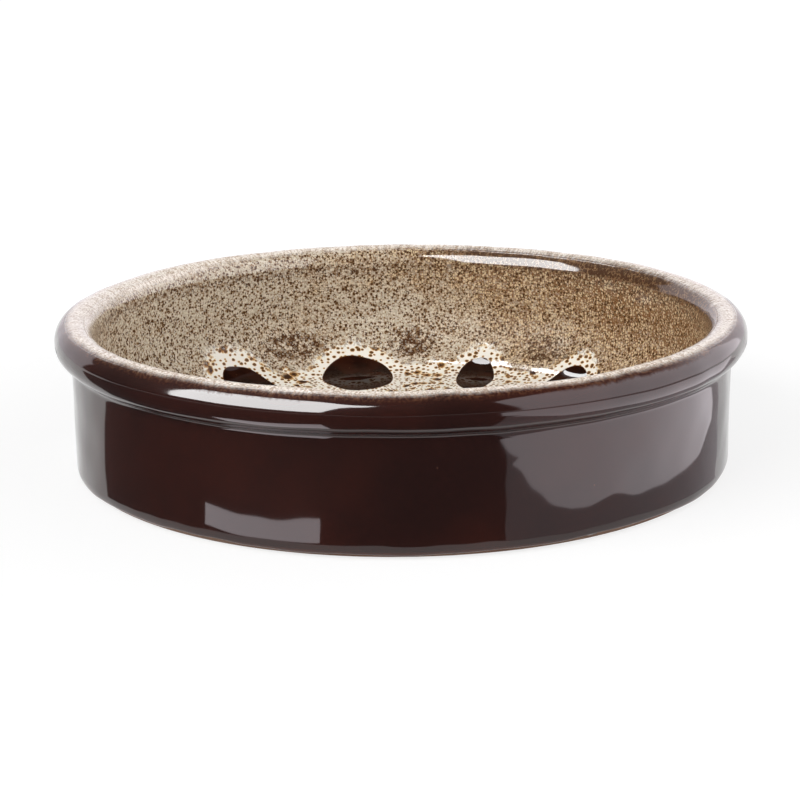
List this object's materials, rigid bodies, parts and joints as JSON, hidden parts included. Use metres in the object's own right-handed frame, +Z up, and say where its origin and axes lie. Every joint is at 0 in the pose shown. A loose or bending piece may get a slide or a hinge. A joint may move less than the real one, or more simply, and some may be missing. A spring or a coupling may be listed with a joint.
{
  "type": "tapas dish",
  "caption": "Round straight-walled tapas dish with a rolled rim, brown glaze outside, mottled oatmeal glaze inside and a ring of dark glaze pools round the floor.",
  "frame": {"origin": "centre of the foot, on the table", "axes": "+Z up the axis of the dish, +Y towards the side that is farthest away in the picture, +X to the right"},
  "size_m": [0.16, 0.16, 0.0355],
  "materials": {
    "bare_clay": "unglazed, fine grain",
    "brown_glaze": "high gloss",
    "rim_glaze": "gloss, fine streaks",
    "oatmeal_glaze": "gloss, mottled",
    "pool_glaze": "high gloss"
  },
  "bodies": {
    "root": {"clay_body": "bare_clay", "outer_glaze": "brown_glaze", "rim_glaze": "rim_glaze", "inner_glaze": "oatmeal_glaze", "glaze_pools": "pool_glaze", "underside_glaze": "brown_glaze"}
  },
  "joints": []
}
